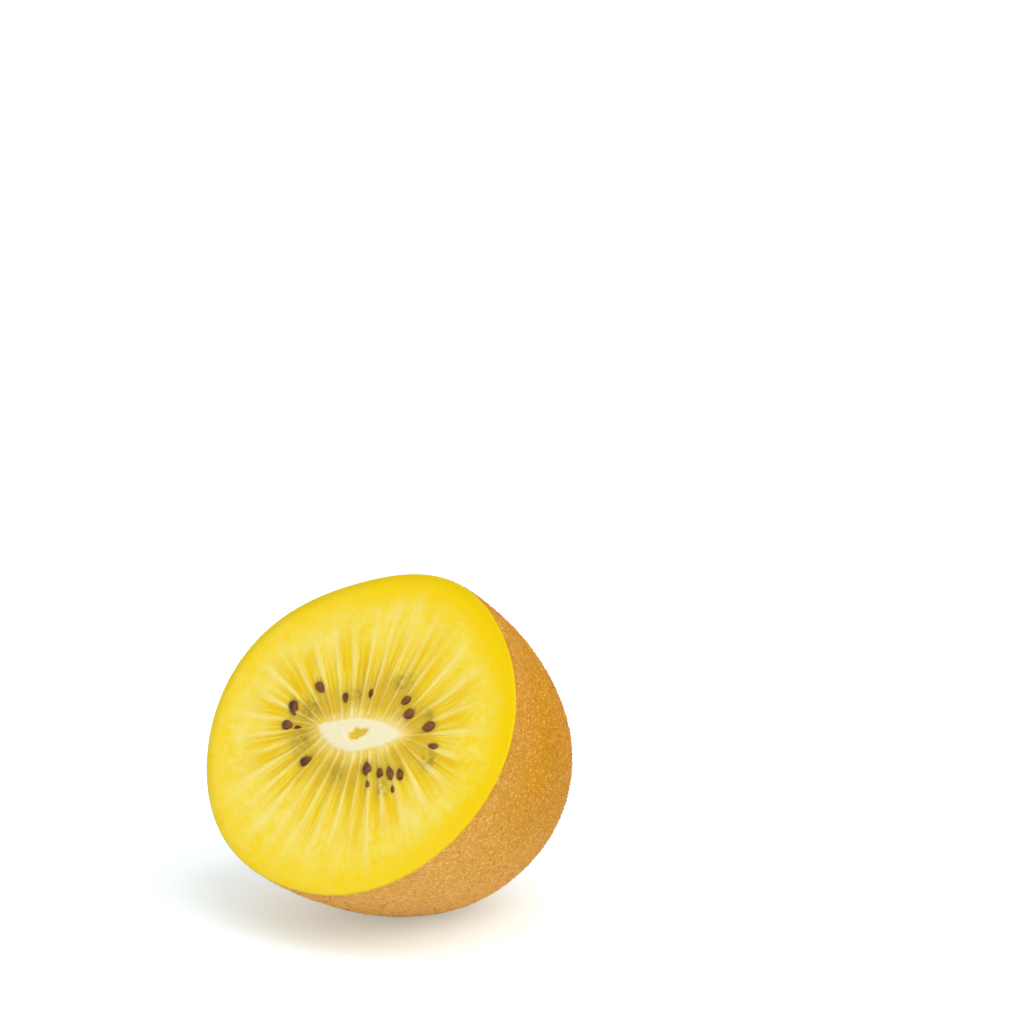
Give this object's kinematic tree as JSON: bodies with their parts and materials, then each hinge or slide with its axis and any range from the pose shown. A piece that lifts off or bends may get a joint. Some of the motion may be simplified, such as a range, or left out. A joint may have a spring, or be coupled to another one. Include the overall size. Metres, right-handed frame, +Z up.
{
  "type": "golden kiwi fruit half",
  "caption": "Golden kiwi fruit cut across, lying on its round side with the golden cut face, cream core and dark seeds turned up and forward.",
  "frame": {"origin": "middle of the small flat spot under the fruit's round side, on the surface that it rests on", "axes": "+Z up, +X along the level width of the cut face, -Y the side that the cut face looks to, 34.7 degrees above the level"},
  "size_m": [0.0533, 0.0496, 0.049],
  "materials": {
    "skin": "matte",
    "flesh": "wet",
    "core": "moist",
    "seed": "gloss"
  },
  "bodies": {
    "root": {"kiwi_half": "skin"}
  },
  "joints": []
}
